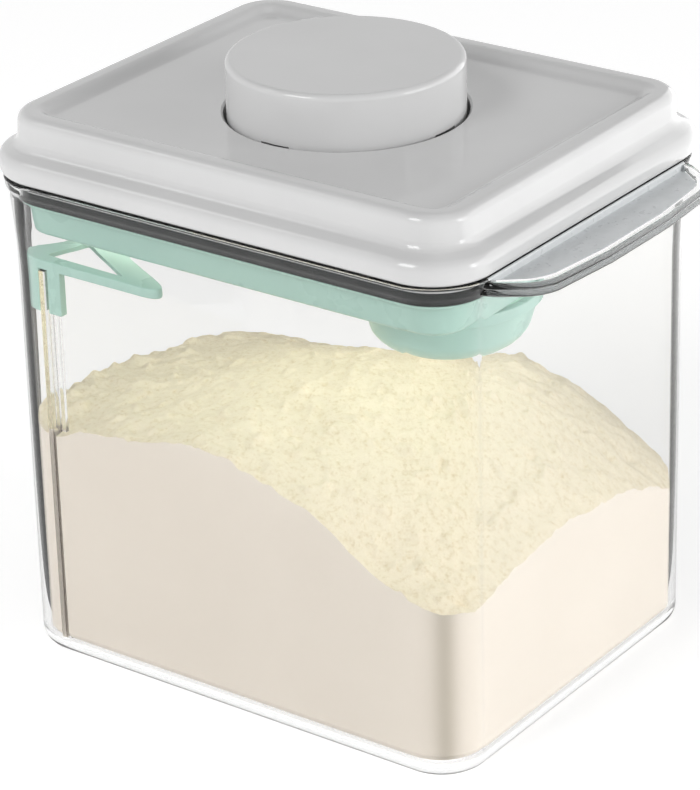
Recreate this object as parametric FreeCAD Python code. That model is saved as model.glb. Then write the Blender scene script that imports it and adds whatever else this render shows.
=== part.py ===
import FreeCAD, Part
import math
import os

# Airtight formula box with a push-button lid. Millimetres, +X to the lip's side, +Y to the back,
# +Z up. The origin is the middle of the container's flat base. The button stands up, the lid is on.

Vec = FreeCAD.Vector
up = Vec(0, 0, 1)

# Container
bodyHalfX = 75.0
bodyHalfY = 60.9
cornerRadius = 14.5
wall = 2.3
baseThick = 3.2
baseEdge = 5.0
flareStart = 122.0
rimZ = 143.2
lipOut = 93.9
lipBottom = 139.0
lipTop = 142.6
lipTray = 141.0
railX = -60.0
railTop = 118.2

# Corner centres: every rounded-rectangle ring below is drawn as an offset from these
centreX = bodyHalfX - cornerRadius
centreY = bodyHalfY - cornerRadius
innerOffset = cornerRadius - wall

# Powder heap
heapLow = 20.0
heapRise = 76.0
heapX = 35.0
heapY = 19.0
heapSpreadX = 66.0
heapSpreadY = 81.0
heapPower = 1.8
heapTiltX = -0.36
heapTiltY = -0.197
powderGap = 0.15

# Leveller
levelTop = 121.4
levelThick = 2.9
levelPlate = 1.3
levelRim = 1.9
legBottom = 105.8
legThick = 2.45

# Lid stack
lidBottom = 143.5
plateTop = 158.5
plateUnder = 156.2
lidTop = 161.0
flangeUnder = 141.0
flangeTop = 142.4
floorTop = 135.0
floorUnder = 133.0
trayUnder = 127.5
trayTop = 129.3
skirtTop = 136.9
skirtFoot = 8.6
screwSpotX = 54.0
screwSpotY = 38.0

# Button and its travel
travel = 12.5
buttonRadius = 32.4
buttonWall = 2.2
buttonTop = 173.5
buttonUnder = 171.3
buttonFoot = 150.5
holeRadius = 33.3

# Rockers: the button swings the long arm down, the short arm lifts a yoke
pivotRadius = 42.0
pivotZ = 145.5
longArm = 31.0
shortArm = 4.2
armHalf = 1.5
noseRadius = 2.2
hubRadius = 2.6
hubHalf = 4.5
tilt = math.degrees(math.asin(travel / 2 / longArm))
lift = 2 * shortArm * math.sin(math.radians(tilt))
pinRadius = 1.25
runningGap = 0.06
gap = 0.3

# Latch pin, on the diagonal between the back and right rockers
latchRadius = 15.4
latchWire = 0.8
latchPivotZ = 137.2
latchTipZ = 156.4

# Return spring
springRadius = 5.2
springWire = 0.6
springTurns = 9

# Scoop
scoopX = 48.0
scoopY = -22.0
scoopRim = 127.2
scoopBottom = 111.6
bowlRadius = 21.6
bowlWall = 1.3
handleEnd = -45.0
handleHalf = 5.5
handleThick = 2.8


def box(x0, x1, y0, y1, z0, z1):
    return Part.makeBox(x1 - x0, y1 - y0, z1 - z0, Vec(x0, y0, z0))


def rod(x, y, z0, z1, radius):
    return Part.makeCylinder(radius, z1 - z0, Vec(x, y, z0))


def turned(shape, angle):
    copy = shape.copy()
    copy.rotate(Vec(0, 0, 0), up, angle)
    return copy


def section(start, *steps):
    # A face in the XZ plane. A step of two numbers is a line, one of four is an arc through a point.
    edges = []
    here = Vec(start[0], 0, start[1])
    for step in steps + (start,):
        end = Vec(step[-2], 0, step[-1])
        if len(step) == 4:
            edges.append(Part.Arc(here, Vec(step[0], 0, step[1]), end).toShape())
        elif end.distanceToPoint(here) > 1e-6:
            edges.append(Part.LineSegment(here, end).toShape())
        here = end
    return Part.Face(Part.Wire(edges))


def ring(face, coreLow=0.0, coreHigh=0.0):
    # Runs a section, drawn outwards from the corner centres, round the rounded rectangle.
    # With a core it also fills the rectangle between the corner centres.
    pieces = []
    for i in range(4):
        signX = 1 if i in (0, 3) else -1
        signY = 1 if i in (0, 1) else -1
        spot = Vec(signX * centreX, signY * centreY, 0)
        corner = turned(face.revolve(Vec(0, 0, 0), up, 90), 90 * i)
        corner.translate(spot)
        pieces.append(corner)
        length = 2 * centreX if i % 2 == 0 else 2 * centreY
        side = turned(face.extrude(Vec(0, length, 0)), 90 * (i + 1))
        side.translate(spot)
        pieces.append(side)
    if coreHigh > coreLow:
        pieces.append(box(-centreX, centreX, -centreY, centreY, coreLow, coreHigh))
    return pieces[0].multiFuse(pieces[1:]).removeSplitter()


def roundedPrism(corners, z0, z1):
    # Extrudes a polygon whose corners (x, y, radius) are rounded where the radius isn't 0
    edges = []
    ends = []
    count = len(corners)
    for i in range(count):
        x, y, radius = corners[i]
        spot = Vec(x, y, z0)
        before = Vec(corners[i - 1][0], corners[i - 1][1], z0) - spot
        after = Vec(corners[(i + 1) % count][0], corners[(i + 1) % count][1], z0) - spot
        before.normalize()
        after.normalize()
        half = before.getAngle(after) / 2
        reach = radius / math.tan(half)
        middle = before + after
        middle.normalize()
        mid = spot + middle * (radius / math.sin(half) - radius)
        ends.append((spot + before * reach, mid, spot + after * reach))
    for i in range(count):
        start, mid, end = ends[i]
        if corners[i][2] > 0:
            edges.append(Part.Arc(start, mid, end).toShape())
        edges.append(Part.LineSegment(end, ends[(i + 1) % count][0]).toShape())
    return Part.Face(Part.Wire(edges)).extrude(Vec(0, 0, z1 - z0))


def lipOutline(inset):
    side = 50.5 - inset
    return [
        (70.0, -side, 0),
        (80.0 - inset / 2, 2 - side, 3),
        (91.2 - inset, 9.6 - side, 8),
        (lipOut - inset, 0, 300),
        (91.2 - inset, side - 9.6, 8),
        (80.0 - inset / 2, side - 2, 3),
        (70.0, side, 0),
    ]


def containerBody():
    outer = cornerRadius
    inner = innerOffset
    shell = ring(section(
        (0, 0), (outer - baseEdge, 0),
        (outer - baseEdge * 0.293, baseEdge * 0.293, outer, baseEdge),
        (outer, flareStart), (outer + 1.2, 138.8), (outer + 2.1, 140.2),
        (outer + 2.5, rimZ - 0.7), (outer + 2.3, rimZ - 0.2, outer + 1.8, rimZ),
        (inner + 1.5, rimZ), (inner + 0.9, rimZ - 0.7), (inner, 133.0),
        (inner, baseThick + 3.5),
        (inner - 1.03, baseThick + 1.03, inner - 3.5, baseThick), (0, baseThick),
    ), 0, baseThick)
    lip = roundedPrism(lipOutline(0), lipBottom, lipTop)
    tray = roundedPrism(lipOutline(2.8), lipTray, lipTop + 1)
    inside = ring(section((0, 100), (outer + 0.6, 100), (outer + 0.6, 150), (0, 150)), 100, 150)
    lip = lip.cut(tray).cut(inside)
    rail = box(railX - 1.1, railX + 1.1, 0.4 - bodyHalfY + wall - 1, -55.2, baseThick - 0.5, railTop)
    rail = rail.fuse(box(railX - 2.4, railX + 2.4, -55.4, -54.2, baseThick - 0.5, railTop))
    return shell.multiFuse([lip, rail]).removeSplitter()


def heapHeight(x, y):
    r = math.hypot((x - heapX) / heapSpreadX, (y - heapY) / heapSpreadY)
    return heapLow + heapRise * math.exp(-0.5 * r ** heapPower) + heapTiltX * x + heapTiltY * y


def formulaPowder():
    edge = innerOffset - powderGap
    low = baseThick + powderGap
    space = ring(section(
        (0, low), (edge - 3.5, low), (edge - 1.03, low + 1.03, edge, low + 3.5),
        (edge, 120), (0, 120),
    ), low, 120)
    rows = []
    for i in range(13):
        x = -84 + 14 * i
        rows.append([Vec(x, y, heapHeight(x, y)) for y in range(-70, 71, 14)])
    surface = Part.BSplineSurface()
    surface.interpolate(rows)
    heap = surface.toShape().extrude(Vec(0, 0, -130))
    rail = box(railX - 2.6, railX + 2.6, -64, -54.0, 0, 130)
    return space.common(heap).cut(rail)


def leveller():
    face = innerOffset - 0.25
    leg = ring(section(
        (face - legThick, legBottom), (face, legBottom), (face, levelTop), (face - legThick, levelTop),
    ))
    leg = leg.common(box(-67.0, -54.0, -64, -50, legBottom, levelTop))
    leg = leg.cut(box(railX - 1.5, railX + 1.5, -64, -50, legBottom - 1, railTop + 0.4))
    low = levelTop - levelThick
    frame = roundedPrism([(-78, -58.35, 0), (-13.7, -58.35, 3.5), (-62.4, -29.4, 5), (-78, -44, 0)],
                         low, levelTop)
    edge = roundedPrism([(-74.9, -62, 0), (-10, -62, 0), (-10, -20, 0), (-53.9, -20, 0)],
                        low - 1, levelTop + 1)
    space = ring(section((0, 110), (face, 110), (face, 130), (0, 130)), 110, 130)
    # a thin plate with a rim turned down along its front, its tip and its back
    hollow = roundedPrism([(-57, levelRim - 58.35, 0), (levelRim - 23.2, levelRim - 58.35, 1.6),
                           (-60.6, -33.4, 3.1), (-64.5, -40, 1)], low - 1, levelTop - levelPlate)
    window = roundedPrism([(-60.1, -54.9, 1.2), (-34.2, -54.9, 1.2), (-56.5, -38.7, 1.2)],
                          levelTop - 5, levelTop + 1)
    frame = frame.common(edge).common(space).cut(hollow).cut(window)
    frame = frame.cut(box(railX - 2.8, railX + 2.8, -55.8, -53.8, legBottom, railTop + 0.4))
    return leg.fuse(frame).removeSplitter()


def lidCover():
    shell = ring(section(
        (13.4, lidBottom), (16.4, lidBottom), (17.5, 144.3, 17.9, 146.2), (17.6, 148.3, 16.2, 149.9),
        (13.6, 151.5, 12.5, 154.4), (12.1, 157.8), (11.1, 160.1, 8.9, lidTop), (6.9, lidTop),
        (5.5, 160.6, 4.6, 159.3), (4.0, 158.7, 2.8, plateTop), (0, plateTop), (0, plateUnder),
        (9.8, plateUnder), (10.2, 152.2), (13.4, 148.6),
    ), plateUnder, plateTop)
    sleeve = rod(0, 0, 152.8, plateUnder, 35.3)
    bosses = []
    pilots = []
    for x in (-screwSpotX, screwSpotX):
        for y in (-screwSpotY, screwSpotY):
            bosses.append(rod(x, y, floorTop + 0.1, plateUnder, 3.6))
            pilots.append(rod(x, y, floorTop, 148.0, 1.32))
    hole = rod(0, 0, 150, 165, holeRadius)
    return shell.multiFuse([sleeve] + bosses).cut(Part.makeCompound([hole] + pilots))


def basePlate():
    plate = ring(section(
        (0, floorUnder), (7.0, floorUnder), (7.0, flangeUnder), (12.4, flangeUnder),
        (12.4, flangeTop - 0.8), (11.6, flangeTop), (5.0, flangeTop), (5.0, floorTop), (0, floorTop),
    ), floorUnder, floorTop)
    post = rod(0, 0, floorTop, 150.0, 3.5)
    extras = [post]
    holes = []
    for i in range(4):
        for side in (-1, 1):
            near = hubHalf + gap
            low, high = sorted((side * near, side * (near + 2.4)))
            ear = box(pivotRadius - 2.2, pivotRadius + 2.2, low, high, floorTop, pivotZ + 2.7)
            extras.append(turned(ear, 90 * i))
        slot = box(44.4, 48.0, -5.1, 5.1, floorUnder - 1, floorTop + 1)
        holes.append(turned(slot, 90 * i))
        bore = Part.makeCylinder(pinRadius + 0.02, 20, Vec(pivotRadius, -10, pivotZ), Vec(0, 1, 0))
        holes.append(turned(bore, 90 * i))
    for x in (-screwSpotX, screwSpotX):
        for y in (-screwSpotY, screwSpotY):
            holes.append(rod(x, y, floorUnder - 1, floorTop + 1, 1.6))
    return plate.multiFuse(extras).removeSplitter().cut(Part.makeCompound(holes))


def basePlateScrews():
    screws = []
    for x in (-screwSpotX, screwSpotX):
        for y in (-screwSpotY, screwSpotY):
            head = rod(x, y, floorUnder - 1.7, floorUnder, 2.9)
            slot = box(x - 2.0, x + 2.0, y - 0.4, y + 0.4, floorUnder - 2.5, floorUnder - 1.0)
            cross = box(x - 0.4, x + 0.4, y - 2.0, y + 2.0, floorUnder - 2.5, floorUnder - 1.0)
            shank = rod(x, y, floorUnder, 147.0, 1.3)
            screws.append(head.cut(slot).cut(cross).fuse(shank))
    return Part.makeCompound(screws)


def buttonCap():
    inner = buttonRadius - buttonWall
    shell = section(
        (0, buttonUnder), (inner, buttonUnder), (inner, buttonFoot), (buttonRadius, buttonFoot),
        (buttonRadius, buttonTop - 1.8), (buttonRadius - 0.53, buttonTop - 0.53,
                                          buttonRadius - 1.8, buttonTop), (0, buttonTop),
    ).revolve(Vec(0, 0, 0), up, 360)
    lugs = []
    slots = []
    for i in range(4):
        lug = rod(0, 0, buttonFoot, buttonFoot + 1.9, buttonRadius + 2.3)
        lug = lug.cut(rod(0, 0, buttonFoot, buttonFoot + 1.9, inner + 0.5))
        lugs.append(lug.common(turned(box(20, 40, -5, 5, 145, 160), 45 + 90 * i)))
        slots.append(turned(box(20, 40, -4.5, 4.5, buttonFoot - 1, buttonFoot + 7.7), 90 * i))
    for side in (-1, 1):
        boss = turned(rod(side * 15.5, 0, 165.0, buttonUnder, 2.9), -45)
        lugs.append(boss)
        slots.append(turned(rod(side * 15.5, 0, 164.0, 170.6, 1.12), -45))
    return shell.multiFuse(lugs).cut(Part.makeCompound(slots))


def plunger():
    foot = 0.3 + pivotZ + travel / 2 + noseRadius
    tube = rod(0, 0, foot, 165.0, 8.2)
    flange = rod(0, 0, foot, foot + 2.2, 13.0)
    bar = turned(box(-19, 19, -6, 6, 163.0, 165.0), -45)
    bar = bar.common(rod(0, 0, 160, 170, 19.0))
    block = turned(box(6, 14.0, -6, 6, foot, 171.1), 45)
    island = roundedPrism([(0, 0, 0.4), (1.3, 3, 0.4), (0, 6, 0.4), (-1.3, 3, 0.4)], 12.0, 13.9)
    island.rotate(Vec(0, 0, 0), Vec(1, 1, 1), 120)
    island.translate(Vec(0, 2.2, 160.0))
    holes = [rod(0, 0, foot - 1, 172, 6.6)]
    holes.append(turned(box(12.0, 15.0, -3.9, 3.9, foot + 1.2, 170.0), 45))
    for side in (-1, 1):
        holes.append(turned(rod(side * 15.5, 0, 160, 168, 1.3), -45))
    body = tube.multiFuse([flange, bar, block]).cut(Part.makeCompound(holes))
    return body.fuse(turned(island, 45)).removeSplitter()


def plungerScrews():
    screws = []
    for side in (-1, 1):
        head = rod(side * 15.5, 0, 161.4, 163.0, 2.2)
        slot = box(side * 15.5 - 1.6, side * 15.5 + 1.6, -0.35, 0.35, 161.0, 162.1)
        shank = rod(side * 15.5, 0, 163.0, 170.0, 1.1)
        screws.append(turned(head.cut(slot).fuse(shank), -45))
    return Part.makeCompound(screws)


def returnSpring():
    low = floorTop + 0.1 + springWire
    height = buttonUnder - 0.1 - springWire - low
    helix = Part.makeHelix(height / springTurns, height, springRadius)
    circle = Part.Circle(Vec(springRadius, 0, 0), Vec(0, 1, 0), springWire)
    coil = Part.Wire(helix.Edges).makePipeShell([Part.Wire([circle.toShape()])], True, True)
    coil.translate(Vec(0, 0, low))
    return coil


def rocker(angle):
    arm = box(pivotRadius - longArm, pivotRadius, -3.5, 3.5, pivotZ - armHalf, pivotZ + armHalf)
    nose = Part.makeCylinder(noseRadius, 7, Vec(pivotRadius - longArm, -3.5, pivotZ), Vec(0, 1, 0))
    hub = Part.makeCylinder(hubRadius, 2 * hubHalf, Vec(pivotRadius, -hubHalf, pivotZ), Vec(0, 1, 0))
    tip = box(pivotRadius, pivotRadius + 6.6, -2.2, 2.2, pivotZ - armHalf, pivotZ + armHalf)
    bore = Part.makeCylinder(pinRadius + runningGap, 20, Vec(pivotRadius, -10, pivotZ), Vec(0, 1, 0))
    lever = arm.multiFuse([nose, hub, tip]).removeSplitter().cut(bore)
    lever.rotate(Vec(pivotRadius, 0, pivotZ), Vec(0, 1, 0), tilt)
    return turned(lever, angle)


def rockerPins():
    half = hubHalf + gap + 2.4
    pins = []
    for i in range(4):
        pin = Part.makeCylinder(pinRadius, 2 * half, Vec(pivotRadius, -half, pivotZ), Vec(0, 1, 0))
        pins.append(turned(pin, 90 * i))
    return Part.makeCompound(pins)


def latchPin():
    # One bent wire: an axle on the radial line, an upright, and a tip in the plunger's track
    bend = 1.6
    points = [
        Vec(latchRadius + 6.2, 0, latchPivotZ),
        Vec(latchRadius + bend, 0, latchPivotZ),
        Vec(latchRadius, 0, latchPivotZ + bend),
        Vec(latchRadius, 0, latchTipZ - bend),
        Vec(latchRadius - bend, 0, latchTipZ),
        Vec(12.4, 0, latchTipZ),
    ]
    short = bend * (1 - math.sqrt(0.5))
    path = Part.Wire([
        Part.LineSegment(points[0], points[1]).toShape(),
        Part.Arc(points[1], Vec(latchRadius + short, 0, latchPivotZ + short), points[2]).toShape(),
        Part.LineSegment(points[2], points[3]).toShape(),
        Part.Arc(points[3], Vec(latchRadius - short, 0, latchTipZ - short), points[4]).toShape(),
        Part.LineSegment(points[4], points[5]).toShape(),
    ])
    circle = Part.Circle(points[0], Vec(1, 0, 0), latchWire)
    wire = path.makePipeShell([Part.Wire([circle.toShape()])], True, True)
    return turned(wire, 45)


def latchKeeper():
    block = box(latchRadius + 2.0, latchRadius + 6.0, -3, 3, floorTop, latchPivotZ + 2.2)
    bore = Part.makeCylinder(latchWire + runningGap, 12, Vec(latchRadius, 0, latchPivotZ), Vec(1, 0, 0))
    return turned(block.cut(bore), 45)


def sealRing():
    low = skirtTop + 0.1
    high = flangeUnder - 0.1
    return ring(section(
        (7.3, low), (11.6, low), (12.3, (low + high) / 2 - 0.4, 12.2, (low + high) / 2 + 0.6),
        (11.8, high), (7.3, high),
    ))


def innerLid():
    tray = ring(section(
        (0, trayUnder), (skirtFoot - 1.2, trayUnder),
        (skirtFoot - 0.3, trayUnder + 0.3, skirtFoot, trayUnder + 1.2),
        (10.5, skirtTop - 1.3), (11.9, skirtTop - 0.9), (11.9, skirtTop), (8.7, skirtTop),
        (skirtFoot - 1.7, trayTop), (0, trayTop),
    ), trayUnder, trayTop)
    clips = []
    for x in (-34.0, 2.0):
        for side in (-1, 1):
            near = handleHalf + 0.15
            low, high = sorted((scoopY + side * near, scoopY + side * (near + 1.6)))
            clips.append(box(x, x + 8, low, high, trayUnder - 3.4, trayUnder + 0.5))
    return tray.multiFuse(clips).removeSplitter()


def liftYokes():
    windowTop = pivotZ + armHalf + gap - 0.63
    yokes = []
    for i in range(4):
        stem = box(44.95, 47.45, -4.5, 4.5, trayTop, windowTop + 2.3)
        foot = box(43.0, 49.4, -7, 7, trayTop, trayTop + 1.3)
        window = box(40, 50, -2.6, 2.6, 141.6, windowTop + 0.3)
        yokes.append(turned(stem.fuse(foot).cut(window), 90 * i))
    return Part.makeCompound(yokes)


def scoop():
    rim = bowlRadius + 1.4
    inner = bowlRadius - bowlWall
    bowl = section(
        (0, scoopBottom), (12.5, scoopBottom), (17.6, scoopBottom + 1.9, 19.8, scoopBottom + 6.9),
        (bowlRadius, scoopRim - 3.4), (rim, scoopRim - 3.4), (rim, scoopRim), (inner, scoopRim),
        (19.8 - bowlWall, scoopBottom + 6.9),
        (16.6, scoopBottom + 2.9, 12.0, scoopBottom + bowlWall), (0, scoopBottom + bowlWall),
    ).revolve(Vec(0, 0, 0), up, 360)
    bowl.translate(Vec(scoopX, scoopY, 0))
    low = scoopY - handleHalf
    high = scoopY + handleHalf
    join = scoopX - inner - 0.4
    handle = roundedPrism([(handleEnd, low, 4), (join, low, 0), (join, high, 0), (handleEnd, high, 4)],
                          scoopRim - handleThick, scoopRim)
    return bowl.fuse(handle).removeSplitter()


parts = {
    "container_body": containerBody(),
    "formula_powder": formulaPowder(),
    "leveller": leveller(),
    "lid_cover": lidCover(),
    "base_plate": basePlate(),
    "base_plate_screws": basePlateScrews(),
    "button_cap": buttonCap(),
    "plunger": plunger(),
    "plunger_screws": plungerScrews(),
    "return_spring": returnSpring(),
    "rocker_right": rocker(0),
    "rocker_back": rocker(90),
    "rocker_left": rocker(180),
    "rocker_front": rocker(270),
    "rocker_pins": rockerPins(),
    "latch_pin": latchPin(),
    "latch_keeper": latchKeeper(),
    "seal_ring": sealRing(),
    "inner_lid": innerLid(),
    "lift_yokes": liftYokes(),
    "scoop": scoop(),
}

os.makedirs("parts", exist_ok=True)
for name, shape in parts.items():
    shape.exportStep("parts/" + name + ".step")
    print(name, "solids", len(shape.Solids), "valid", shape.isValid(), "volume", round(shape.Volume))
print("button travel", travel, "rocker tilt each way", round(tilt, 3), "lift", round(lift, 4))
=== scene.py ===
import bpy
import bmesh
import math
from mathutils import Matrix, Vector, noise


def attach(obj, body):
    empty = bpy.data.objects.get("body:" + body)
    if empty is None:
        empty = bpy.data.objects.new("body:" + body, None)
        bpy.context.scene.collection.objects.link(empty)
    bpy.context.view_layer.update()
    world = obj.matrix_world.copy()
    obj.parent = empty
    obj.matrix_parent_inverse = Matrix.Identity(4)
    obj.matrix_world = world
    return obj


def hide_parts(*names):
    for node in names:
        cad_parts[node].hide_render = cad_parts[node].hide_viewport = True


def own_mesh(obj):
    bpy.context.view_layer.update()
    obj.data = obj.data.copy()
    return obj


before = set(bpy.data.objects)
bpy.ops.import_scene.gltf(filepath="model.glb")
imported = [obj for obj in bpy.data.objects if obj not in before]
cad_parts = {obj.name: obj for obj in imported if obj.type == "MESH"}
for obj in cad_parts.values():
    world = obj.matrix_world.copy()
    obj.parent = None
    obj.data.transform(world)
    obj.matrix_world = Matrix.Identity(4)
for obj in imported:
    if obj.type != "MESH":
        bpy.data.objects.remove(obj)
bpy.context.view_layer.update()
print("frame loaded:", len(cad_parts), "nodes")

mm = 0.001
quarter = math.pi / 2
weld = 1e-6  # vertices closer than this become one, in metres

# body shape shared by every ring: corner centres and how far out the walls stand from them, mm
shell = {"centreX": 60.5, "centreY": 46.4, "outer": 14.5, "inner": 12.2, "cornerSteps": 32}


view = {
    "place": (0.53381, -0.72332, 0.49456),
    "azimuth": 36.504,
    "elevation": 25.127,
    "roll": -1.55,
    "lens": 162.24,
}
studio = {
    "horizon": 0.93,  # brightness of the surroundings, low down and overhead
    "overhead": 0.10,
    "fadeFrom": 0.35,  # how high up it starts to fade, and where it has faded
    "fadeTo": 0.9,
    "floorSize": 3,
    "floorTone": 0.70,
    "floorGlow": 0.53,  # the table is lit from below
    "cardGlow": 2.2,
    "bounces": 24,
    "glossyBounces": 16,
}
lamps = {
    "keyBox": {"place": (1.55, 0.42, 0.46), "aim": (0, 0, 0.1), "size": (0.8, 0.7), "power": 10.8},
    "softTop": {"place": (0.2, 0.0, 1.6), "aim": (0, 0, 0.1), "size": (0.8, 0.8), "power": 0.9,
                "shadow": False},
    "leftBox": {"place": (-0.85, -0.55, 1.15), "aim": (0, 0, 0.14), "size": (0.3, 0.3), "power": 0.7},
    "frontBox": {"place": (-0.25, -1.1, 1.0), "aim": (0, 0, 0.1), "size": (0.6, 0.5), "power": 6.6},
    # lifts the shade that the lid throws on the powder
    "insideSoft": {"place": (0, 0, 0.1255), "aim": (0, 0, 0), "size": (0.125, 0.09), "power": 0.037,
                   "shadow": False, "tone": (1, 0.93, 0.88)},
}
# upright cards beside the object: where the foot starts and ends, and the height
cards = {
    "cardLeft": {"start": (-0.0835, -0.0633), "end": (-0.3215, 0.1193), "high": 0.135},
    "cardRight": {"start": (0.0835, 0.0633), "end": (-0.0216, 0.3443), "high": 0.135},
    "brightCard": {"start": (0.277, 0.001), "end": (0.021, 0.191), "high": 0.25},
}
cardLow = 0.001


def makeCamera():
    data = bpy.data.cameras.new("camera")
    data.lens = view["lens"]
    camera = bpy.data.objects.new("camera", data)
    bpy.context.scene.collection.objects.link(camera)
    turn = Matrix.Rotation(math.radians(view["azimuth"]), 4, "Z")
    tip = Matrix.Rotation(math.radians(90 - view["elevation"]), 4, "X")
    roll = Matrix.Rotation(math.radians(view["roll"]), 4, "Z")
    camera.matrix_world = Matrix.Translation(view["place"]) @ turn @ tip @ roll
    bpy.context.scene.camera = camera


def areaLight(name, place, aim, size, power, shadow=True, tone=(1, 1, 1)):
    data = bpy.data.lights.new(name, "AREA")
    data.shape = "RECTANGLE"
    data.size, data.size_y = size
    data.energy = power
    data.use_shadow = shadow
    data.color = tone
    lamp = bpy.data.objects.new(name, data)
    bpy.context.scene.collection.objects.link(lamp)
    lamp.location = place
    lamp.visible_camera = False
    lamp.visible_transmission = False
    lamp.rotation_euler = (Vector(aim) - Vector(place)).to_track_quat("-Z", "Y").to_euler()


def makeWorld():
    world = bpy.data.worlds.new("studio")
    world.use_nodes = True
    bpy.context.scene.world = world
    nodes, links = world.node_tree.nodes, world.node_tree.links
    coord = nodes.new("ShaderNodeTexCoord")
    split = nodes.new("ShaderNodeSeparateXYZ")
    ramp = nodes.new("ShaderNodeMapRange")
    ramp.interpolation_type = "SMOOTHSTEP"
    ramp.inputs["From Min"].default_value = studio["fadeFrom"]
    ramp.inputs["From Max"].default_value = studio["fadeTo"]
    ramp.inputs["To Min"].default_value = studio["horizon"]
    ramp.inputs["To Max"].default_value = studio["overhead"]
    back = nodes["Background"]
    links.new(coord.outputs["Generated"], split.inputs[0])
    links.new(split.outputs["Z"], ramp.inputs["Value"])
    links.new(ramp.outputs["Result"], back.inputs["Strength"])
    back.inputs["Color"].default_value = (1, 1, 1, 1)


def setBounces():
    # light runs a long way inside the clear rim and lip before it comes out
    paths = bpy.context.scene.cycles
    paths.max_bounces = studio["bounces"]
    paths.glossy_bounces = studio["glossyBounces"]
    paths.transmission_bounces = studio["bounces"]
    paths.transparent_max_bounces = studio["bounces"]


def makeCard(name, material, seenIn):
    # only the clear edges see the card, or only reflections do
    start, end, high = cards[name]["start"], cards[name]["end"], cards[name]["high"]
    bm = bmesh.new()
    outline = ((start, cardLow), (end, cardLow), (end, high), (start, high))
    bm.faces.new([bm.verts.new((*foot, z)) for foot, z in outline])
    mesh = bpy.data.meshes.new(name)
    bm.to_mesh(mesh)
    bm.free()
    card = bpy.data.objects.new(name, mesh)
    bpy.context.scene.collection.objects.link(card)
    mesh.materials.append(material)
    card.visible_camera = False
    card.visible_diffuse = False
    card.visible_glossy = seenIn == "reflections"
    card.visible_transmission = seenIn == "edges"
    card.visible_shadow = False


def makeFloor(material):
    bm = bmesh.new()
    bmesh.ops.create_grid(bm, x_segments=1, y_segments=1, size=studio["floorSize"])
    mesh = bpy.data.meshes.new("floor")
    bm.to_mesh(mesh)
    bm.free()
    floor = bpy.data.objects.new("floor", mesh)
    bpy.context.scene.collection.objects.link(floor)
    mesh.materials.append(material)


def newMaterial(name):
    material = bpy.data.materials.new(name)
    material.use_nodes = True
    tree = material.node_tree
    return material, tree, tree.nodes["Principled BSDF"]


def addNoise(tree, scale, detail=2.0, rough=0.5, stretch=None):
    coord = tree.nodes.new("ShaderNodeTexCoord")
    pattern = tree.nodes.new("ShaderNodeTexNoise")
    pattern.inputs["Scale"].default_value = scale
    pattern.inputs["Detail"].default_value = detail
    pattern.inputs["Roughness"].default_value = rough
    source = coord.outputs["Object"]
    if stretch:
        place = tree.nodes.new("ShaderNodeMapping")
        place.inputs["Scale"].default_value = stretch
        tree.links.new(source, place.inputs["Vector"])
        source = place.outputs["Vector"]
    tree.links.new(source, pattern.inputs["Vector"])
    return pattern.outputs["Fac"]


def toneRamp(tree, fac, dark, light, low, high):
    ramp = tree.nodes.new("ShaderNodeValToRGB")
    ramp.color_ramp.elements[0].position = low
    ramp.color_ramp.elements[1].position = high
    ramp.color_ramp.elements[0].color = (*dark, 1)
    ramp.color_ramp.elements[1].color = (*light, 1)
    tree.links.new(fac, ramp.inputs["Fac"])
    return ramp.outputs["Color"]


def addTone(tree, bsdf, fac, dark, light):
    tree.links.new(toneRamp(tree, fac, dark, light, 0.35, 0.65), bsdf.inputs["Base Color"])


def addRange(tree, fac, low, high, socket):
    spread = tree.nodes.new("ShaderNodeMapRange")
    spread.inputs["From Min"].default_value = 0.3
    spread.inputs["From Max"].default_value = 0.7
    spread.inputs["To Min"].default_value = low
    spread.inputs["To Max"].default_value = high
    tree.links.new(fac, spread.inputs["Value"])
    tree.links.new(spread.outputs["Result"], socket)


def addBump(tree, bsdf, fac, strength, depth):
    bump = tree.nodes.new("ShaderNodeBump")
    bump.inputs["Strength"].default_value = strength
    bump.inputs["Distance"].default_value = depth
    tree.links.new(fac, bump.inputs["Height"])
    tree.links.new(bump.outputs["Normal"], bsdf.inputs["Normal"])


def mouldedPlastic(name, dark, light, roughLow, roughHigh):
    # injection moulded surface: faint tone drift, polish that varies, a very shallow ripple
    material, tree, bsdf = newMaterial(name)
    addTone(tree, bsdf, addNoise(tree, 22, 3), dark, light)
    addRange(tree, addNoise(tree, 60, 4), roughLow, roughHigh, bsdf.inputs["Roughness"])
    addBump(tree, bsdf, addNoise(tree, 160, 2), 0.05, 0.0004)
    return material


def paintedEdgeShade(tree, bsdf, stops):
    # painted shade: the plastic's colour darkens where it is seen edge on, standing in for the dark lines
    # at its edges
    weight = tree.nodes.new("ShaderNodeLayerWeight")
    weight.inputs["Blend"].default_value = 0.5
    ramp = tree.nodes.new("ShaderNodeValToRGB")
    ramp.color_ramp.elements.new(0.5)
    for element, (place, tone) in zip(ramp.color_ramp.elements, stops):
        element.position = place
        element.color = (tone, tone, tone * 0.995, 1)
    tree.links.new(weight.outputs["Facing"], ramp.inputs["Fac"])
    tree.links.new(ramp.outputs["Color"], bsdf.inputs["Base Color"])


plasticIndex = 1.46  # how strongly the container's plastic bends light


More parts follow.
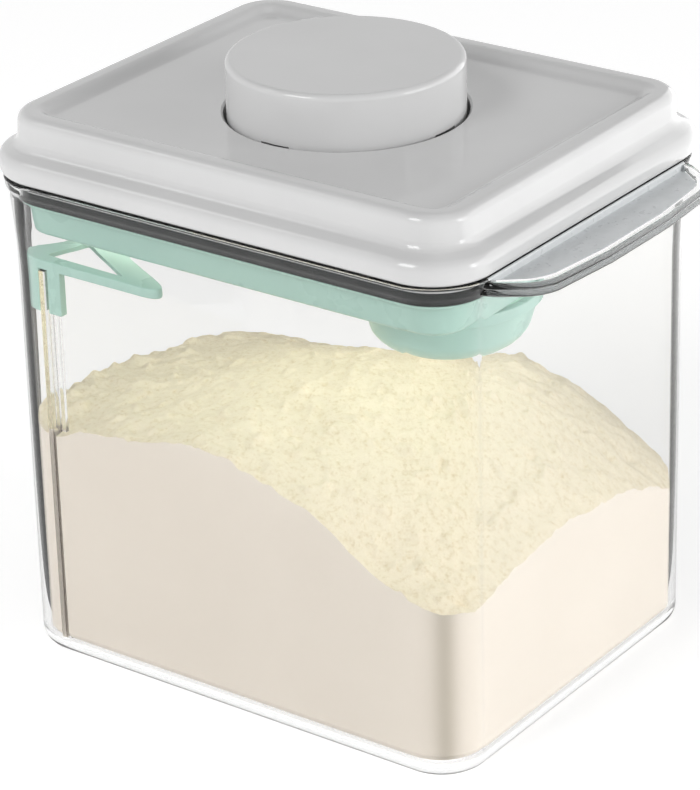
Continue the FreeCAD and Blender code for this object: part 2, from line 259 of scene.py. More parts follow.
def clearPlastic(name, edges, density):
    material, tree, bsdf = newMaterial(name)
    paintedEdgeShade(tree, bsdf, edges)
    bsdf.inputs["Transmission Weight"].default_value = 1.0
    bsdf.inputs["IOR"].default_value = plasticIndex
    bsdf.inputs["Specular Tint"].default_value = (0.5, 0.5, 0.5, 1)
    addRange(tree, addNoise(tree, 60, 2), 0.0, 0.008, bsdf.inputs["Roughness"])
    addBump(tree, bsdf, addNoise(tree, 9, 1), 0.005, 0.0006)
    # long ways through the plastic come out grey
    inside = tree.nodes.new("ShaderNodeVolumeAbsorption")
    inside.inputs["Color"].default_value = (0.5, 0.5, 0.5, 1)
    inside.inputs["Density"].default_value = density
    tree.links.new(inside.outputs["Volume"], tree.nodes["Material Output"].inputs["Volume"])
    # lamps shine straight through, so the powder inside is lit
    clear = tree.nodes.new("ShaderNodeBsdfTransparent")
    clear.inputs["Color"].default_value = (0.97, 0.975, 0.975, 1)
    path = tree.nodes.new("ShaderNodeLightPath")
    mix = tree.nodes.new("ShaderNodeMixShader")
    tree.links.new(path.outputs["Is Shadow Ray"], mix.inputs["Fac"])
    tree.links.new(bsdf.outputs["BSDF"], mix.inputs[1])
    tree.links.new(clear.outputs["BSDF"], mix.inputs[2])
    tree.links.new(mix.outputs["Shader"], tree.nodes["Material Output"].inputs["Surface"])
    return material


def paintedReflectionPlastic():
    # painted reflection: the pouring lip's floor is an opaque grey standing in for what its clear plastic
    # reflects, with a satin roughness
    material, tree, bsdf = newMaterial("paintedReflectionTray")
    addTone(tree, bsdf, addNoise(tree, 400, 4), (0.62, 0.64, 0.65), (0.66, 0.68, 0.69))
    bsdf.inputs["IOR"].default_value = plasticIndex
    addRange(tree, addNoise(tree, 500, 4), 0.25, 0.40, bsdf.inputs["Roughness"])
    addBump(tree, bsdf, addNoise(tree, 120, 1), 0.02, 0.0002)
    return material


def brushedSteel():
    material, tree, bsdf = newMaterial("brushedSteel")
    grain = addNoise(tree, 300, 3, stretch=(1, 1, 8))
    addTone(tree, bsdf, grain, (0.50, 0.50, 0.51), (0.68, 0.68, 0.69))
    bsdf.inputs["Metallic"].default_value = 1.0
    addRange(tree, addNoise(tree, 500, 2), 0.22, 0.38, bsdf.inputs["Roughness"])
    return material


def powderGrain():
    # "pressed" is 1 where the powder lies smooth against the wall, 0 on the loose heap, and
    # "corner" is painted shade, rising to 1 part of the way round the rounded corners
    material, tree, bsdf = newMaterial("formulaPowder")
    nodes, links = tree.nodes, tree.links
    crumbs = addNoise(tree, 620, 8, 0.8)
    loose = toneRamp(tree, crumbs, (0.76, 0.62, 0.38), (0.97, 0.865, 0.67), 0.3, 0.5)
    packed = toneRamp(tree, addNoise(tree, 25, 3), (0.87, 0.79, 0.695), (0.90, 0.82, 0.725), 0.3, 0.7)
    # painted shade: the pressed powder's colour is darkened where the corner attribute is high
    corner = nodes.new("ShaderNodeAttribute")
    corner.attribute_name = "corner"
    paintedShadeMix = nodes.new("ShaderNodeMix")
    paintedShadeMix.data_type = "RGBA"
    paintedShadeMix.blend_type = "MULTIPLY"
    paintedShadeMix.inputs["B"].default_value = (0.66, 0.65, 0.62, 1)
    links.new(corner.outputs["Fac"], paintedShadeMix.inputs["Factor"])
    links.new(packed, paintedShadeMix.inputs["A"])
    mask = nodes.new("ShaderNodeAttribute")
    mask.attribute_name = "pressed"
    mix = nodes.new("ShaderNodeMix")
    mix.data_type = "RGBA"
    links.new(mask.outputs["Fac"], mix.inputs["Factor"])
    links.new(loose, mix.inputs["A"])
    links.new(paintedShadeMix.outputs["Result"], mix.inputs["B"])
    links.new(mix.outputs["Result"], bsdf.inputs["Base Color"])
    bsdf.inputs["Roughness"].default_value = 0.95
    bsdf.inputs["Specular IOR Level"].default_value = 0.1
    height = nodes.new("ShaderNodeMath")
    height.operation = "MULTIPLY"
    free = nodes.new("ShaderNodeMath")
    free.operation = "SUBTRACT"
    free.inputs[0].default_value = 1.0
    links.new(mask.outputs["Fac"], free.inputs[1])
    links.new(addNoise(tree, 1300, 4, 0.8), height.inputs[0])
    links.new(free.outputs["Value"], height.inputs[1])
    addBump(tree, bsdf, height.outputs["Value"], 0.7, 0.0007)
    return material


def floorPaint():
    material, _, bsdf = newMaterial("paleFloor")
    tone = studio["floorTone"]
    bsdf.inputs["Base Color"].default_value = (tone, tone, tone, 1)
    bsdf.inputs["Roughness"].default_value = 0.9
    bsdf.inputs["Specular IOR Level"].default_value = 0.1
    bsdf.inputs["Emission Color"].default_value = (1, 1, 1, 1)
    bsdf.inputs["Emission Strength"].default_value = studio["floorGlow"]
    return material


def cardPaint(name, tone):
    material, _, bsdf = newMaterial(name)
    bsdf.inputs["Base Color"].default_value = (tone, tone, tone, 1)
    bsdf.inputs["Roughness"].default_value = 1.0
    bsdf.inputs["Specular IOR Level"].default_value = 0.0
    return material


def glowPaint(name):
    # about as bright as the floor at its foot, so that no line shows there, and brighter higher up
    material = cardPaint(name, 0.5)
    tree = material.node_tree
    bsdf = tree.nodes["Principled BSDF"]
    bsdf.inputs["Emission Color"].default_value = (1, 1, 1, 1)
    coord = tree.nodes.new("ShaderNodeTexCoord")
    split = tree.nodes.new("ShaderNodeSeparateXYZ")
    ramp = tree.nodes.new("ShaderNodeMapRange")
    ramp.interpolation_type = "SMOOTHSTEP"
    ramp.inputs["From Min"].default_value = 0.0
    ramp.inputs["From Max"].default_value = 0.13
    ramp.inputs["To Min"].default_value = 0.5
    ramp.inputs["To Max"].default_value = studio["cardGlow"]
    tree.links.new(coord.outputs["Object"], split.inputs[0])
    tree.links.new(split.outputs["Z"], ramp.inputs["Value"])
    tree.links.new(ramp.outputs["Result"], bsdf.inputs["Emission Strength"])
    return material


def siliconeRubber():
    material, tree, bsdf = newMaterial("darkSilicone")
    addTone(tree, bsdf, addNoise(tree, 200, 4), (0.007, 0.009, 0.009), (0.014, 0.017, 0.016))
    addRange(tree, addNoise(tree, 600, 3), 0.5, 0.65, bsdf.inputs["Roughness"])
    bsdf.inputs["Specular IOR Level"].default_value = 0.22
    addBump(tree, bsdf, addNoise(tree, 900, 3), 0.08, 0.0003)
    return material


greyGloss = mouldedPlastic("greyGloss", (0.595, 0.595, 0.595), (0.625, 0.625, 0.625), 0.08, 0.14)
mintPlastic = mouldedPlastic("mintPlastic", (0.44, 0.665, 0.585), (0.47, 0.70, 0.615), 0.24, 0.34)
whiteAcetal = mouldedPlastic("whiteAcetal", (0.78, 0.78, 0.77), (0.85, 0.85, 0.84), 0.35, 0.5)
# the first stops are the painted edge shade: facing and grey tone
clear = clearPlastic("clearPlastic", ((0.66, 0.99), (0.82, 0.6), (0.95, 0.15)), 40)
clearLip = clearPlastic("clearLip", ((0.7, 1), (0.86, 0.85), (0.96, 0.4)), 6)
trayReflectionPaint = paintedReflectionPlastic()
steel = brushedSteel()
powderLook = powderGrain()
silicone = siliconeRubber()
print("materials made")


def placePoint(x, y, z):
    return Vector((x * mm, y * mm, z * mm))


def vertsIn(geom):
    return [g for g in geom if isinstance(g, bmesh.types.BMVert)]


def edgesIn(geom):
    return [g for g in geom if isinstance(g, bmesh.types.BMEdge)]


def roundVertex(bm, vert, size, segments):
    bmesh.ops.bevel(bm, geom=[vert], offset=size * mm, offset_type="OFFSET", segments=segments,
                    profile=0.5, affect="VERTICES", material=-1)


def drawSection(bm, points):
    # a chain of (distance out, height, rounding) in mm, rounded at its vertices, in the XZ plane
    verts = [bm.verts.new(placePoint(p[0], 0, p[1])) for p in points]
    for a, b in zip(verts, verts[1:]):
        bm.edges.new((a, b))
    for vert, point in zip(verts, points):
        if len(point) > 2:
            roundVertex(bm, vert, point[2], 6)
    return bm.verts[:] + bm.edges[:]


def sweepRing(bm, section):
    # runs the section round the rounded rectangle: a quarter spin at a corner, then a straight extrude
    cx, cy = shell["centreX"] * mm, shell["centreY"] * mm
    corners = [Vector((cx, -cy, 0)), Vector((cx, cy, 0)), Vector((-cx, cy, 0)), Vector((-cx, -cy, 0))]
    start = vertsIn(section)
    bmesh.ops.rotate(bm, verts=start, cent=(0, 0, 0), matrix=Matrix.Rotation(-quarter, 3, "Z"))
    bmesh.ops.translate(bm, verts=start, vec=corners[0])
    for i, corner in enumerate(corners):
        spun = bmesh.ops.spin(bm, geom=section, cent=corner, axis=(0, 0, 1), angle=quarter,
                              steps=shell["cornerSteps"])
        drawn = bmesh.ops.extrude_edge_only(bm, edges=edgesIn(spun["geom_last"]))["geom"]
        moved = set(vertsIn(drawn))
        bmesh.ops.translate(bm, verts=list(moved), vec=corners[(i + 1) % 4] - corner)
        section = list(moved) + [e for e in edgesIn(drawn) if e.verts[0] in moved and e.verts[1] in moved]
    bmesh.ops.remove_doubles(bm, verts=bm.verts[:], dist=weld)
    bmesh.ops.dissolve_degenerate(bm, dist=1e-7, edges=bm.edges[:])


def spinRound(bm, section, steps):
    bmesh.ops.spin(bm, geom=section, cent=(0, 0, 0), axis=(0, 0, 1), angle=2 * math.pi, steps=steps,
                   use_merge=True)
    bmesh.ops.remove_doubles(bm, verts=bm.verts[:], dist=weld)


def roundedLoop(bm, corners, z):
    # a closed outline of (x, y, rounding) in mm
    verts = [bm.verts.new(placePoint(c[0], c[1], z)) for c in corners]
    for a, b in zip(verts, verts[1:] + verts[:1]):
        bm.edges.new((a, b))
    for vert, corner in zip(verts, corners):
        if len(corner) > 2:
            roundVertex(bm, vert, corner[2], 8)


def thicken(bm, depth):
    # extrudes every face straight up into a closed plate
    out = bmesh.ops.extrude_face_region(bm, geom=bm.faces[:], use_keep_orig=True)["geom"]
    bmesh.ops.translate(bm, verts=vertsIn(out), vec=(0, 0, depth * mm))


def softenEdges(bm, width, angle, segments=2):
    # rounds the edges that turn by more than the angle
    sharp = [e for e in bm.edges
             if len(e.link_faces) == 2 and e.calc_face_angle(0) > math.radians(angle)]
    bmesh.ops.bevel(bm, geom=sharp, offset=width * mm, offset_type="OFFSET", segments=segments,
                    profile=0.5, affect="EDGES", material=-1, clamp_overlap=True)


def addBlock(bm, low, high, width=0.0):
    # a box between two corners in mm, with its edges rounded
    made = bmesh.ops.create_cube(bm, size=1)["verts"]
    size = [(b - a) * mm for a, b in zip(low, high)]
    bmesh.ops.scale(bm, verts=made, vec=size)
    bmesh.ops.translate(bm, verts=made, vec=[(a + b) / 2 * mm for a, b in zip(low, high)])
    if width:
        edges = list({e for v in made for e in v.link_edges})
        bmesh.ops.bevel(bm, geom=edges, offset=width * mm, offset_type="OFFSET", segments=2,
                        profile=0.5, affect="EDGES", material=-1)


def meshObject(bm, name):
    bmesh.ops.recalc_face_normals(bm, faces=bm.faces[:])
    mesh = bpy.data.meshes.new(name)
    bm.to_mesh(mesh)
    bm.free()
    piece = bpy.data.objects.new(name, mesh)
    bpy.context.scene.collection.objects.link(piece)
    return piece


def combine(piece, other, operation):
    # joins or cuts with another mesh, which is then dropped
    step = piece.modifiers.new("combine", "BOOLEAN")
    step.object = other
    step.operation = operation
    step.solver = "EXACT"
    bpy.context.view_layer.update()
    ready = piece.evaluated_get(bpy.context.evaluated_depsgraph_get())
    joined = bpy.data.meshes.new_from_object(ready)
    piece.modifiers.clear()
    piece.data = joined
    bpy.data.objects.remove(other)


def finishPiece(piece, material, body, nodes=(), sharp=32, weighted=True, crease=None):
    # edges that turn by more than "sharp" degrees, or that "crease" picks, stay sharp
    mesh = piece.data
    bm = bmesh.new()
    bm.from_mesh(mesh)
    bmesh.ops.remove_doubles(bm, verts=bm.verts[:], dist=weld)
    bmesh.ops.recalc_face_normals(bm, faces=bm.faces[:])
    for face in bm.faces:
        face.smooth = True
    for edge in bm.edges:
        edge.smooth = len(edge.link_faces) != 2 or edge.calc_face_angle(0) < math.radians(sharp)
        if crease and crease(edge):
            edge.smooth = False
    bm.to_mesh(mesh)
    bm.free()
    mesh.materials.clear()
    mesh.materials.append(material)
    if weighted:
        normals = piece.modifiers.new("weightedNormals", "WEIGHTED_NORMAL")
        normals.keep_sharp = True
    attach(piece, body)
    if nodes:
        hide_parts(*nodes)
    print("made", piece.name, len(mesh.polygons), "faces")


container = {
    "baseThick": 3.2,
    "rimTop": 143.2,
    "lipLow": 139.0,
    "lipHigh": 142.6,
    "lipRoot": 74.0,
    "lipCut": 75.9,  # the lip starts here, inside the wall
    "lipShoulder": 80.0,
    "lipCorner": 90.9,
    "lipEnd": 93.2,
    "lipHalf": 50.5,
    "lipFlat": 14,  # half the straight front edge
    "trayFloor": 141.0,
    "bead": 2.8,
    "groove": 140.9,
    "upperInset": 0.45,
    "beadRound": 0.85,
    "rimFrom": 76.0,  # the rim behind the lip's floor gets the same opaque grey with painted reflection
    "rimTo": 78.6,
    "rimHalf": 47,
}
rail = {
    "x": -60.0,
    "low": 1.5,
    "top": 118.2,
    "webHalf": 1.1,
    "webY": (-59.4, -54.8),
    "flangeHalf": 2.4,
    "flangeY": (-55.4, -54.2),
}


def lipOutline(bm, inset, z):
    c = container
    side, flat = c["lipHalf"] - inset, c["lipFlat"]
    shoulder, corner, end = c["lipShoulder"] - inset / 2, c["lipCorner"] - inset, c["lipEnd"] - inset
    roundedLoop(bm, [
        (c["lipRoot"], -side), (shoulder, 2 - side, 1.5), (corner, 9.6 - side, 5.5), (end, -flat),
        (end, flat), (corner, side - 9.6, 5.5), (shoulder, side - 2, 1.5), (c["lipRoot"], side),
    ], z)
    bmesh.ops.contextual_create(bm, geom=bm.edges[:])


def lipSlab(inset, low, high, rounding):
    bm = bmesh.new()
    lipOutline(bm, inset, low)
    thicken(bm, high - low)
    if rounding:
        softenEdges(bm, rounding, 60, 4)
    return meshObject(bm, "lipSlab")


def railBar(half, depth, rounding=0.0):
    bm = bmesh.new()
    addBlock(bm, (rail["x"] - half, depth[0], rail["low"]), (rail["x"] + half, depth[1], rail["top"]),
             rounding)
    return meshObject(bm, "railBar")


def makeContainer():
    c = container
    outer, inner = shell["outer"], shell["inner"]
    bm = bmesh.new()
    sweepRing(bm, drawSection(bm, [
        (0, 0), (outer, 0, 5.0), (outer, 122.0, 6), (outer + 1.25, 139.0, 1), (outer + 2.2, 140.4, 0.6),
        (outer + 2.5, c["rimTop"], 0.6), (inner + 1.1, c["rimTop"], 0.5), (inner, 133.0, 4),
        (inner, c["baseThick"], 3.4), (0, c["baseThick"]),
    ]))
    bmesh.ops.holes_fill(bm, edges=bm.edges[:], sides=4)
    body = meshObject(bm, "containerGlass")

    # the lip: two stacked beads with a groove between them, round a sunk floor
    lip = lipSlab(0, c["lipLow"], c["groove"], c["beadRound"])
    upper = lipSlab(c["upperInset"], c["groove"] - 0.3, c["lipHigh"], c["beadRound"])
    combine(lip, upper, "UNION")
    combine(lip, lipSlab(c["bead"], c["trayFloor"], c["lipHigh"] + 2, 0), "DIFFERENCE")
    bm = bmesh.new()
    addBlock(bm, (50, -60, 120), (c["lipCut"], 60, 150))
    combine(lip, meshObject(bm, "behindLip"), "DIFFERENCE")
    combine(body, lip, "UNION")

    web = railBar(rail["webHalf"], rail["webY"])
    combine(web, railBar(rail["flangeHalf"], rail["flangeY"], 0.3), "UNION")
    combine(body, web, "UNION")
    finishPiece(body, clear, "container", ["container_body"])
    # slot 1 is the opaque grey with painted reflection, for the lip's floor and the rim behind it
    body.data.materials.append(trayReflectionPaint)
    body.data.materials.append(clearLip)
    for face in body.data.polygons:
        x, y, z = face.center / mm
        onTray = abs(z - c["trayFloor"]) < 0.1 and face.normal.z > 0.9 and x > c["lipRoot"] - 0.5
        onRim = c["rimFrom"] < x < c["rimTo"] and z > c["trayFloor"] and abs(y) < c["rimHalf"]
        onLip = x > c["rimTo"] or (z > c["lipLow"] - 0.2 and x > c["rimFrom"] + 0.8)
        face.material_index = 1 if onTray or onRim else 2 if onLip else 0


powder = {
    "gap": 0.2,  # between the powder and the wall
    "low": 20.0,
    "rise": 76.0,
    "centre": (35.0, 19.0),
    "spread": (66.0, 81.0),
    "power": 1.8,
    "tilt": (-0.36, -0.197),
    "swells": ((4.2, -10, 24), (-4.2, 50, 14), (-5.0, -60, 8)),  # along the front: height, x, width
    "swellY": -58.6,
    "swellDepth": 16.0,
    "lumps": ((1.4, 18), (0.7, 7.5), (0.6, 3.6), (0.18, 2.1)),  # height and width
    # clumps that stand proud here and there, and dents: height, width, how rare, shift of the noise
    "clumps": ((2.8, 4.6, 0.25, (7, 3, 1)), (-2.6, 3.9, 0.36, (2, 9, 5))),
    "foot": ((6.9, 0), (4.7, 0.9), (3.45, 3.2)),  # rounded lower edge: height and inset
    "paintedCornerShade": (40, 15),  # middle and width in degrees, from the long side
    "railGap": ((1.2, -62, -55.0), (2.5, -55.55, -54.05)),  # half width, back and front of each cut
    "railCutTop": 125,
    "columns": 240,
    "rows": 194,
}


def heapHeight(x, y):
    p = powder
    r = math.hypot((x - p["centre"][0]) / p["spread"][0], (y - p["centre"][1]) / p["spread"][1])
    base = p["low"] + p["rise"] * math.exp(-0.5 * r ** p["power"]) + p["tilt"][0] * x + p["tilt"][1] * y
    swell = sum(h * math.exp(-((x - at) / wide) ** 2) for h, at, wide in p["swells"])
    base += swell * math.exp(-((y - p["swellY"]) / p["swellDepth"]) ** 2)
    spot = Vector((x, y, 0))
    lumps = sum(h * noise.noise(spot / wide) for h, wide in p["lumps"])
    clumps = sum(h * max(0, noise.noise(spot / wide + Vector(shift)) - rare)
                 for h, wide, rare, shift in p["clumps"])
    return base + lumps + clumps


def paintedCornerShade(x, y):
    # painted shade on the pressed powder, strongest part of the way round each rounded corner on the
    # lip's side
    outX, outY = abs(x) - shell["centreX"], abs(y) - shell["centreY"]
    if outX <= 0 or outY <= 0 or x < 0:
        return 0.0
    middle, width = powder["paintedCornerShade"]
    return math.exp(-((math.degrees(math.atan2(outX, outY)) - middle) / width) ** 2)


def makePowder():
    p = powder
    reach = shell["inner"] - p["gap"]
    halfX, halfY = shell["centreX"] + reach, shell["centreY"] + reach
    bm = bmesh.new()
    bmesh.ops.create_grid(bm, x_segments=p["columns"], y_segments=p["rows"], size=1)
    for vert in bm.verts:
        x, y = vert.co.x * halfX, vert.co.y * halfY
        u, v = max(0, abs(x) - shell["centreX"]) / reach, max(0, abs(y) - shell["centreY"]) / reach
        if u and v:  # the square corner pulled in to a round one
            x = math.copysign(shell["centreX"] + reach * u * math.sqrt(1 - v * v / 2), x)
            y = math.copysign(shell["centreY"] + reach * v * math.sqrt(1 - u * u / 2), y)
        vert.co = placePoint(x, y, heapHeight(x, y))
    border = [e for e in bm.edges if e.is_boundary]
    for height, inset in p["foot"]:
        skirt = bmesh.ops.extrude_edge_only(bm, edges=border)["geom"]
        for vert in vertsIn(skirt):
            vert.co.x *= 1 - inset / halfX
            vert.co.y *= 1 - inset / halfY
            vert.co.z = height * mm
        border = [e for e in edgesIn(skirt) if e.is_boundary]
    bmesh.ops.contextual_create(bm, geom=border)
    bmesh.ops.recalc_face_normals(bm, faces=bm.faces[:])
    pressed = bm.loops.layers.float.new("pressed")
    # this layer carries the painted shade at the rounded corners
    corner = bm.loops.layers.float.new("corner")
    wallFoot = (p["foot"][0][0] + 0.2) * mm
    for face in bm.faces:
        onWall = min(v.co.z for v in face.verts) < wallFoot
        for loop in face.loops:
            loop[pressed] = 1.0 if onWall else 0.0
            loop[corner] = paintedCornerShade(loop.vert.co.x / mm, loop.vert.co.y / mm) if onWall else 0.0
    heap = meshObject(bm, "formulaPowder")
    for half, back, front in p["railGap"]:
        bm = bmesh.new()
        addBlock(bm, (rail["x"] - half, back, 0), (rail["x"] + half, front, p["railCutTop"]))
        side = bm.loops.layers.float.new("pressed")
        for face in bm.faces:
            for loop in face.loops:
                loop[side] = 1.0
        combine(heap, meshObject(bm, "railPocket"), "DIFFERENCE")

    def meetsWall(edge):  # one of its faces is upright and the other isn't
        return len({abs(face.normal.z) < 0.02 for face in edge.link_faces}) == 2

    finishPiece(heap, powderLook, "container", ["formula_powder"], sharp=60, weighted=False,
                crease=meetsWall)


lid = {
    "under": 143.5,
    "plateTop": 158.5,
    "plateUnder": 156.2,
    "top": 161.0,
    "hole": 33.3,
    "sleeve": 35.3,
    "sleeveFoot": 152.8,
    "bossX": 54,
    "bossY": 38,
    "bossRadius": 3.6,
    "bossMiddle": 145.7,
    "bossHeight": 21,
}


def makeLidCover():
    k = lid
    bm = bmesh.new()
    sweepRing(bm, drawSection(bm, [
        (0, k["plateTop"]), (3.2, k["plateTop"], 1.6), (6.0, k["top"], 1.4), (12.0, k["top"], 2.6),
        (12.6, 152.4, 1.8), (18.05, 149.8, 2.2), (17.7, k["under"], 2.4), (13.4, k["under"], 0.3),
        (13.4, 148.6, 0.6), (10.2, 152.2, 0.6), (9.8, k["plateUnder"], 0.5), (0, k["plateUnder"]),
    ]))
    frames = [e for e in bm.edges if e.is_boundary]
    topFrame = [e for e in frames if e.verts[0].co.z > (k["plateTop"] - 1) * mm]
    lowFrame = [e for e in frames if e not in topFrame]
    ring = bmesh.new()
    spinRound(ring, drawSection(ring, [
        (k["hole"] + 0.6, k["plateTop"]), (k["hole"], k["plateTop"] - 0.5), (k["hole"], k["sleeveFoot"]),
        (k["sleeve"], k["sleeveFoot"]), (k["sleeve"], k["plateUnder"]),
    ]), 96)
    spare = bpy.data.meshes.new("sleeve")
    ring.to_mesh(spare)
    ring.free()
    bm.from_mesh(spare)
    rims = [e for e in bm.edges if e.is_boundary and e not in topFrame and e not in lowFrame]
    topRim = [e for e in rims if e.verts[0].co.z > (k["plateTop"] - 1) * mm]
    lowRim = [e for e in rims if e not in topRim]
    bmesh.ops.triangle_fill(bm, use_beauty=True, edges=topFrame + topRim)
    bmesh.ops.triangle_fill(bm, use_beauty=True, edges=lowFrame + lowRim)
    radius = k["bossRadius"] * mm
    for x in (-k["bossX"], k["bossX"]):
        for y in (-k["bossY"], k["bossY"]):
            boss = bmesh.ops.create_cone(bm, cap_ends=True, segments=24, radius1=radius, radius2=radius,
                                         depth=k["bossHeight"] * mm)["verts"]
            bmesh.ops.translate(bm, verts=boss, vec=placePoint(x, y, k["bossMiddle"]))
    cover = meshObject(bm, "lidShell")
    finishPiece(cover, greyGloss, "lid", ["lid_cover"])


button = {"radius": 32.4, "wall": 2.2, "top": 173.5, "foot": 150.5, "slotHalf": 4.5, "slotHigh": 7.7}


def makeButton():
    k = button
    inner = k["radius"] - k["wall"]
    bm = bmesh.new()
    spinRound(bm, drawSection(bm, [
        (0, k["top"]), (k["radius"] - 6, k["top"]), (k["radius"], k["top"], 1.7),
        (k["radius"], k["foot"]), (inner, k["foot"]), (inner, k["top"] - k["wall"]),
        (0, k["top"] - k["wall"]),
    ]), 128)
    cap = meshObject(bm, "buttonShell")
    for i in range(4):
        bm = bmesh.new()
        addBlock(bm, (25, -k["slotHalf"], k["foot"] - 1), (36, k["slotHalf"], k["foot"] + k["slotHigh"]))
        bmesh.ops.rotate(bm, verts=bm.verts[:], cent=(0, 0, 0),
                         matrix=Matrix.Rotation(i * quarter, 3, "Z"))
        combine(cap, meshObject(bm, "slot"), "DIFFERENCE")
    finishPiece(cap, greyGloss, "button", ["button_cap"])


sealRing = {"inner": 7.3, "low": 137.0, "top": 140.9}


def makeSeal():
    k = sealRing
    bm = bmesh.new()
    sweepRing(bm, drawSection(bm, [
        (k["inner"], k["low"]), (11.9, k["low"], 0.5), (12.3, 138.8, 0.8), (12.1, k["top"], 0.5),
        (k["inner"], k["top"]), (k["inner"], k["low"]),
    ]))
    seal = meshObject(bm, "sealRing")
    finishPiece(seal, silicone, "lid", ["seal_ring"])
    seal.modifiers.clear()
    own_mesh(seal)


innerLid = {
    "under": 127.5,
    "floor": 129.3,
    "top": 136.9,
    "clipX": (-34.0, 2.0),
    "clipY": (-29.25, -16.35),
    "clipLow": 124.1,
    "clipLong": 8,
    "clipThick": 1.6,
}


def makeInnerLid():
    k = innerLid
    bm = bmesh.new()
    sweepRing(bm, drawSection(bm, [
        (0, k["under"]), (8.5, k["under"], 1.2), (10.5, 135.6, 0.3), (11.7, 136.0, 0.3),
        (11.9, k["top"], 0.3), (8.7, k["top"], 0.3), (6.9, k["floor"], 0.5), (0, k["floor"]),
    ]))
    bmesh.ops.holes_fill(bm, edges=bm.edges[:], sides=4)
    for x in k["clipX"]:
        for y in k["clipY"]:
            addBlock(bm, (x, y, k["clipLow"]),
                     (x + k["clipLong"], y + k["clipThick"], k["under"] + 0.5), 0.3)
    tray = meshObject(bm, "innerLidTray")
    finishPiece(tray, mintPlastic, "inner_lid", ["inner_lid"])


scoopSize = {
    "x": 48.0,
    "y": -22.0,
    "rim": 127.2,
    "rimHigh": 3.4,
    "rimOut": 1.4,
    "bottom": 111.6,
    "radius": 21.6,
    "wall": 1.3,
    "handleEnd": -45,
    "handleHalf": 5.5,
    "handleThick": 2.8,
}


def makeScoop():
    k = scoopSize
    inner, outer = k["radius"] - k["wall"], k["radius"] + k["rimOut"]
    rimLow, floor = k["rim"] - k["rimHigh"], k["bottom"] + k["wall"]
    bm = bmesh.new()
    spinRound(bm, drawSection(bm, [
        (0, k["bottom"]), (18.6, k["bottom"], 6.0), (k["radius"], rimLow, 0.4), (outer, rimLow, 0.4),
        (outer, k["rim"], 0.4), (inner, k["rim"], 0.3), (17.5, floor, 5.6), (0, floor),
    ]), 80)
    bmesh.ops.translate(bm, verts=bm.verts[:], vec=placePoint(k["x"], k["y"], 0))
    bowl = meshObject(bm, "scoopBowl")
    front, back = k["y"] - k["handleHalf"], k["y"] + k["handleHalf"]
    root = k["x"] - inner - 0.6  # inside the bowl's wall
    bm = bmesh.new()
    roundedLoop(bm, [(k["handleEnd"], front, 4), (root, front), (root, back), (k["handleEnd"], back, 4)],
                k["rim"] - k["handleThick"])
    bmesh.ops.contextual_create(bm, geom=bm.edges[:])
    thicken(bm, k["handleThick"])
    softenEdges(bm, 0.5, 40)
    combine(bowl, meshObject(bm, "handle"), "UNION")
    finishPiece(bowl, mintPlastic, "scoop", ["scoop"])


levelSize = {
    "top": 121.4,
    "low": 118.5,
    "plate": 1.3,
    "legLow": 105.8,
    "legThick": 2.45,
    "face": 11.95,  # from the corner's centre to the side against the wall
    "frontY": -58.35,
    # the two slanting sides: a point on each and the way it faces
    "slants": (((-13.7, -58.35), (28.95, 48.7)), ((-74.9, -62), (-42, 21))),
    "apexRound": 4,
    "tipRound": 12.5,
    "leftProng": (33, 28.2),  # where it starts and how far it runs round the corner, degrees
    "rightProng": (-58.5, -54),
    "window": [(-61.4, -54.2, 1.5), (-34.2, -54.9, 1.0), (-58.6, -39.2, 1.0)],
    "hollow": [(-63.5, -56.45), (-21.3, -56.45, 2.5), (-60.6, -33.4, 2), (-66.5, -44)],
}


def flatPrism(corners, low, high, name):
    bm = bmesh.new()
    roundedLoop(bm, corners, low)
    bmesh.ops.contextual_create(bm, geom=bm.edges[:])
    thicken(bm, high - low)
    return meshObject(bm, name)


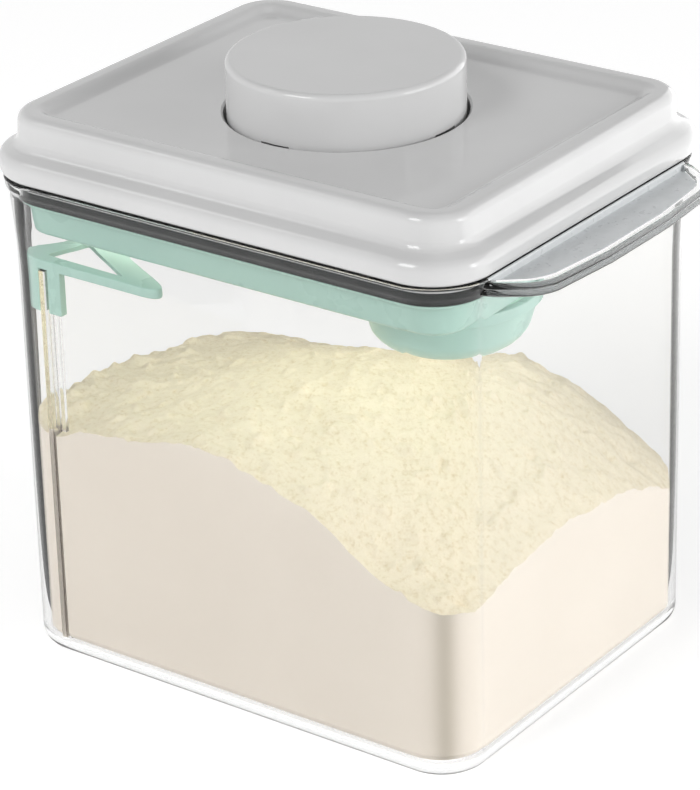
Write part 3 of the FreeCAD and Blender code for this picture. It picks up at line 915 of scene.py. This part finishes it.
def makeLeveller():
    k = levelSize
    cx, cy = shell["centreX"], shell["centreY"]
    wallX = -cx - k["face"]
    bm = bmesh.new()
    roundedLoop(bm, [(wallX, k["frontY"], k["face"]), (-8, k["frontY"]), (-8, -20), (wallX, -20)],
                k["low"])
    bmesh.ops.contextual_create(bm, geom=bm.edges[:])
    for point, normal in k["slants"]:
        bmesh.ops.bisect_plane(bm, geom=bm.verts[:] + bm.edges[:] + bm.faces[:], dist=1e-7,
                               plane_co=placePoint(*point, 0), plane_no=(*normal, 0), clear_outer=True)
    apex = max(bm.verts, key=lambda v: v.co.y)
    tip = max(bm.verts, key=lambda v: v.co.x)
    roundVertex(bm, apex, k["apexRound"], 10)
    roundVertex(bm, tip, k["tipRound"], 10)
    thicken(bm, k["top"] - k["low"])
    softenEdges(bm, 0.5, 35, 3)
    frameShape = meshObject(bm, "levellerFrame")
    hollow = flatPrism(k["hollow"], k["low"] - 2, k["top"] - k["plate"], "hollow")
    combine(frameShape, hollow, "DIFFERENCE")
    combine(frameShape, flatPrism(k["window"], k["low"] - 3, k["top"] + 2, "window"), "DIFFERENCE")
    # left prong follows the container's corner, right prong is flat
    back, high, centre = k["face"] - k["legThick"], k["top"] - 1, placePoint(-cx, -cy, 0)
    start, turn = k["leftProng"]
    bm = bmesh.new()
    section = drawSection(bm, [
        (back, k["legLow"]), (k["face"], k["legLow"]), (k["face"], high), (back, high),
        (back, k["legLow"]),
    ])
    first = vertsIn(section)
    bmesh.ops.rotate(bm, verts=first, cent=(0, 0, 0),
                     matrix=Matrix.Rotation(-quarter - math.radians(start), 3, "Z"))
    bmesh.ops.translate(bm, verts=first, vec=centre)
    bmesh.ops.spin(bm, geom=section, cent=centre, axis=(0, 0, 1), angle=math.radians(turn), steps=8)
    bmesh.ops.remove_doubles(bm, verts=bm.verts[:], dist=weld)
    bmesh.ops.holes_fill(bm, edges=bm.edges[:], sides=8)
    bmesh.ops.recalc_face_normals(bm, faces=bm.faces[:])
    softenEdges(bm, 0.35, 40)
    combine(frameShape, meshObject(bm, "leftProng"), "UNION")
    bm = bmesh.new()
    left, right = k["rightProng"]
    addBlock(bm, (left, k["frontY"], k["legLow"]), (right, k["frontY"] + k["legThick"], high), 0.35)
    combine(frameShape, meshObject(bm, "rightProng"), "UNION")
    finishPiece(frameShape, mintPlastic, "leveller", ["leveller"])


spring = {"low": 135.7, "high": 170.6, "radius": 5.2, "wire": 0.6, "turns": 9, "stepsPerTurn": 24}


def makeSpring():
    k = spring
    steps = k["turns"] * k["stepsPerTurn"]
    bm = bmesh.new()
    circle = bmesh.ops.create_circle(bm, segments=10, radius=k["wire"] * mm)["verts"]
    bmesh.ops.rotate(bm, verts=circle, cent=(0, 0, 0), matrix=Matrix.Rotation(quarter, 3, "X"))
    bmesh.ops.translate(bm, verts=circle, vec=placePoint(k["radius"], 0, k["low"]))
    bmesh.ops.spin(bm, geom=bm.verts[:] + bm.edges[:], cent=(0, 0, 0), axis=(0, 0, 1),
                   dvec=(0, 0, (k["high"] - k["low"]) / steps * mm), angle=2 * math.pi * k["turns"],
                   steps=steps)
    bmesh.ops.remove_doubles(bm, verts=bm.verts[:], dist=weld)
    bmesh.ops.holes_fill(bm, edges=bm.edges[:], sides=10)
    coil = meshObject(bm, "springCoil")
    finishPiece(coil, steel, "lid", ["return_spring"], weighted=False)
    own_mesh(coil)


def dressNodes():
    # the mechanism's pieces keep the CAD's shape and only get a finish
    looks = {
        "base_plate": greyGloss, "plunger": whiteAcetal, "latch_keeper": whiteAcetal,
        "lift_yokes": whiteAcetal, "rocker_right": whiteAcetal, "rocker_back": whiteAcetal,
        "rocker_left": whiteAcetal, "rocker_front": whiteAcetal, "base_plate_screws": steel,
        "plunger_screws": steel, "rocker_pins": steel, "latch_pin": steel,
    }
    for node, look in looks.items():
        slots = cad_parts[node].data.materials
        slots.clear()
        slots.append(look)


makeCamera()
makeWorld()
makeFloor(floorPaint())
makeCard("cardLeft", cardPaint("darkCard", 0.06), "edges")
makeCard("cardRight", cardPaint("greyCard", 0.30), "edges")
makeCard("brightCard", glowPaint("brightCard"), "reflections")
for lampName, lamp in lamps.items():
    areaLight(lampName, **lamp)
bpy.context.scene.view_settings.view_transform = "Standard"
setBounces()
print("studio set")

makeContainer()
makePowder()
makeLidCover()
makeButton()
makeSeal()
makeInnerLid()
makeScoop()
makeLeveller()
makeSpring()
dressNodes()
